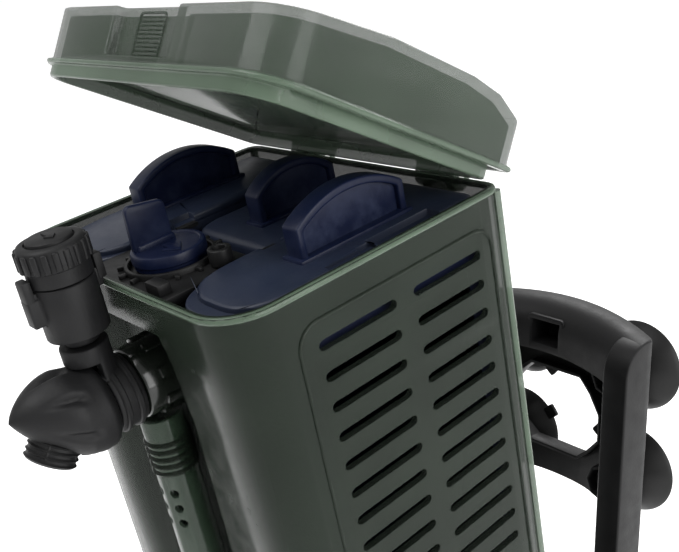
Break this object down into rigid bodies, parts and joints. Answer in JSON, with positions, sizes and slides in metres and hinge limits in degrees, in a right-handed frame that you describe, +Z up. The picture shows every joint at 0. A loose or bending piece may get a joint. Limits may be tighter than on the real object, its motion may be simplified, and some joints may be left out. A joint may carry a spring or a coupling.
{
  "type": "canister filter",
  "caption": "Underwater aquarium canister filter: clear green housing, hinged lid, lift-out cartridges, swivel nozzle and suction-cup bracket.",
  "frame": {"origin": "centre of the housing's base", "axes": "+Z up to the rim, -Y towards the nozzle, +X to the right seen from the front"},
  "size_m": [0.125, 0.249, 0.3674],
  "materials": {
    "clear_green": "translucent smoked green moulding, polished",
    "blue_plastic": "fine satin navy moulding",
    "black_plastic": "satin black moulding",
    "black_rubber": "soft matt rubber",
    "steel": "ground pin",
    "filter_foam": "open-cell filter foam",
    "ceramic_media": "porous ceramic"
  },
  "bodies": {
    "housing": {"housing": "clear_green", "cord_gland": "black_rubber", "hinge_knuckle_left": "clear_green", "hinge_knuckle_right": "clear_green", "hinge_pin_left": "steel", "hinge_pin_right": "steel", "valve_plate": "black_plastic", "plate_screw": "black_plastic", "motor_body": "black_plastic", "impeller_cover": "black_plastic", "impeller_shaft": "steel", "spray_tube": "clear_green", "tube_clip_left": "black_plastic", "tube_clip_right": "black_plastic", "nozzle_socket": "black_plastic", "floor_pad_1": "black_rubber", "floor_pad_2": "black_rubber", "floor_pad_3": "black_rubber", "floor_pad_4": "black_rubber"},
    "lid": {"lid": "clear_green"},
    "cartridge_left": {"cartridge_cap_left": "blue_plastic", "cartridge_cage_left": "blue_plastic", "foam_pad_left": "filter_foam"},
    "cartridge_right": {"cartridge_cap_right": "blue_plastic", "cartridge_cage_right": "blue_plastic", "foam_pad_right": "filter_foam"},
    "media_insert": {"basket_cap": "blue_plastic", "media_basket": "black_plastic", "bio_media": "ceramic_media"},
    "flow_knob": {"flow_knob": "blue_plastic"},
    "nozzle_arm": {"nozzle_elbow": "black_plastic", "air_valve": "black_plastic"},
    "nozzle_head": {"nozzle_head": "black_plastic", "nozzle_insert": "black_plastic"},
    "air_dial": {"air_dial": "black_plastic"},
    "impeller": {"impeller": "black_rubber"},
    "bracket_foot": {"bracket_foot": "black_plastic"},
    "bracket": {"bracket_frame": "black_plastic", "suction_cup_lower_left": "black_rubber", "suction_cup_lower_right": "black_rubber", "suction_cup_upper_left": "black_rubber", "suction_cup_upper_right": "black_rubber"}
  },
  "joints": [
    {"name": "lid_hinge", "type": "hinge", "parent": "housing", "child": "lid", "pos_m": [0, 0.055, 0.297], "axis": [-1, 0, 0], "range_deg": [-33, 57]},
    {"name": "cartridge_left_lift", "type": "slide", "parent": "housing", "child": "cartridge_left", "axis": [0, 0, 1], "range_m": [0, 0.004]},
    {"name": "cartridge_right_lift", "type": "slide", "parent": "housing", "child": "cartridge_right", "axis": [0, 0, 1], "range_m": [0, 0.004]},
    {"name": "media_lift", "type": "slide", "parent": "housing", "child": "media_insert", "axis": [0, 0, 1], "range_m": [0, 0.004]},
    {"name": "flow_turn", "type": "hinge", "parent": "housing", "child": "flow_knob", "pos_m": [0, -0.0273, 0.299], "axis": [0, 0, 1], "range_deg": [-80, 80]},
    {"name": "nozzle_swing", "type": "hinge", "parent": "housing", "child": "nozzle_arm", "pos_m": [0, -0.055, 0.266], "axis": [0, -1, 0], "range_deg": [-60, 60]},
    {"name": "head_turn", "type": "hinge", "parent": "nozzle_arm", "child": "nozzle_head", "pos_m": [0, -0.062, 0.266], "axis": [0, -1, 0], "range_deg": [-90, 90]},
    {"name": "dial_turn", "type": "hinge", "parent": "nozzle_arm", "child": "air_dial", "pos_m": [0, -0.0604, 0.306], "axis": [0, 0, 1], "range_deg": [0, 270]},
    {"name": "impeller_spin", "type": "hinge", "parent": "housing", "child": "impeller", "pos_m": [0, 0.008, 0.05], "axis": [0, 0, 1], "continuous": true},
    {"name": "bracket_slide", "type": "slide", "parent": "housing", "child": "bracket_foot", "axis": [0, 1, 0], "range_m": [-0.0345, 0]},
    {"name": "bracket_tilt", "type": "hinge", "parent": "bracket_foot", "child": "bracket", "pos_m": [0, 0.094, 0.025], "axis": [1, 0, 0], "range_deg": [-5, 11.6]}
  ]
}
